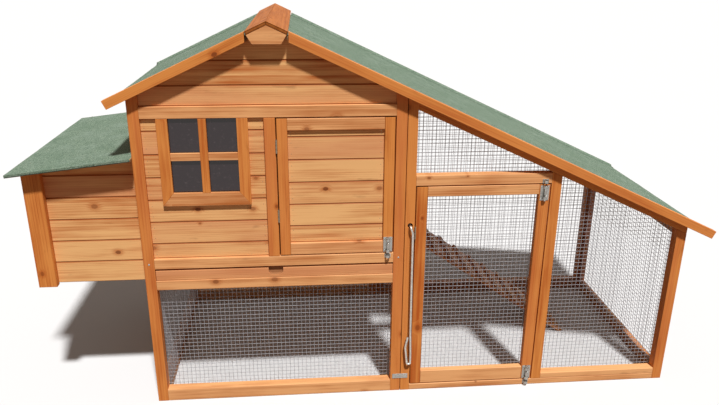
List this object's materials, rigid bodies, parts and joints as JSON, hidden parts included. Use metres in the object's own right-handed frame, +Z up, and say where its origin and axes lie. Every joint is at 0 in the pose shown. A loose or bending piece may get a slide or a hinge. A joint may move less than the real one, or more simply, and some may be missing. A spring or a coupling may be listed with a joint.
{
  "type": "wooden chicken coop",
  "caption": "Raised clad hen house with a lidded nest box and a netted run under one long sloping roof, with bolted doors, a sliding pop door and a droppings tray.",
  "frame": {"origin": "on the ground, below the middle of the overall box", "axes": "+X along the front from the nest box to the end of the run, +Y from the front to the back, +Z up"},
  "size_m": [2.026, 0.736, 1.1379],
  "materials": {
    "boards": "honey stained fir boards, satin",
    "frame": "redder stained fir timbers, satin",
    "felt": "grey-green granule bitumen felt, matt",
    "zinc": "bright zinc plate",
    "wire": "galvanised wire",
    "pane": "dark acrylic sheet",
    "sheet": "galvanised sheet",
    "plain_wood": "plain softwood, unfinished"
  },
  "bodies": {
    "coop": {"house_posts": "frame", "house_front_rails": "frame", "house_centre_stile": "frame", "house_back_rails": "frame", "house_side_rails": "frame", "front_wall_boards": "boards", "back_wall_boards": "boards", "left_wall_boards": "boards", "right_wall_boards": "boards", "window_frame": "frame", "window_pane": "pane", "floor_panel": "plain_wood", "perches": "plain_wood", "perch_blocks": "plain_wood", "run_posts": "frame", "run_front_rails": "frame", "run_back_rails": "frame", "run_end_frame": "frame", "net_house_front": "wire", "net_house_back": "wire", "net_house_left": "wire", "net_run_gable": "wire", "net_run_front": "wire", "net_run_back": "wire", "net_run_end": "wire", "roof_panel_left": "plain_wood", "roof_panel_right": "plain_wood", "roof_felt": "felt", "front_bargeboards": "frame", "back_bargeboards": "frame", "ridge_cap": "frame", "ridge_ornaments": "frame", "nest_posts": "frame", "nest_boards": "boards", "nest_floor": "plain_wood", "nest_divider": "plain_wood", "ramp": "boards", "pop_door_runners": "frame", "tie_plates": "zinc", "bolt_keepers": "zinc", "fixed_hinge_leaves": "zinc"},
    "house_door": {"house_door_frame": "frame", "house_door_boards": "boards", "house_door_hinge_leaves": "zinc", "house_door_bolt_case": "zinc"},
    "house_door_bolt": {"house_door_bolt": "zinc"},
    "run_door": {"run_door_frame": "frame", "net_run_door": "wire", "run_door_hinge_leaves": "zinc", "run_door_bolt_cases": "zinc"},
    "run_door_top_bolt": {"run_door_top_bolt": "zinc"},
    "run_door_bottom_bolt": {"run_door_bottom_bolt": "zinc"},
    "nest_lid": {"nest_lid_panel": "plain_wood", "nest_lid_felt": "felt", "nest_lid_hinge_leaves": "zinc"},
    "tray": {"tray_front": "boards", "tray_pan": "sheet"},
    "pop_door": {"pop_door": "boards", "draw_rod": "zinc"}
  },
  "joints": [
    {"name": "house_door_hinge", "type": "hinge", "parent": "coop", "child": "house_door", "pos_m": [-0.2865, -0.3458, 0.6], "axis": [0, 0, -1], "range_deg": [0, 110]},
    {"name": "house_door_bolt_slide", "type": "slide", "parent": "house_door", "child": "house_door_bolt", "axis": [0, 0, -1], "range_m": [0, 0.018]},
    {"name": "run_door_hinge", "type": "hinge", "parent": "coop", "child": "run_door", "pos_m": [0.1045, -0.3458, 0.35], "axis": [0, 0, -1], "range_deg": [0, 90]},
    {"name": "run_door_top_bolt_slide", "type": "slide", "parent": "run_door", "child": "run_door_top_bolt", "axis": [0, 0, 1], "range_m": [0, 0.018]},
    {"name": "run_door_bottom_bolt_slide", "type": "slide", "parent": "run_door", "child": "run_door_bottom_bolt", "axis": [0, 0, -1], "range_m": [0, 0.018]},
    {"name": "nest_lid_hinge", "type": "hinge", "parent": "coop", "child": "nest_lid", "pos_m": [-0.6778, 0, 0.78049], "axis": [0, 1, 0], "range_deg": [0, 65]},
    {"name": "tray_slide", "type": "slide", "parent": "coop", "child": "tray", "axis": [0, -1, 0], "range_m": [0, 0.45]},
    {"name": "pop_door_slide", "type": "slide", "parent": "coop", "child": "pop_door", "axis": [0, -1, 0], "range_m": [0, 0.22]}
  ]
}
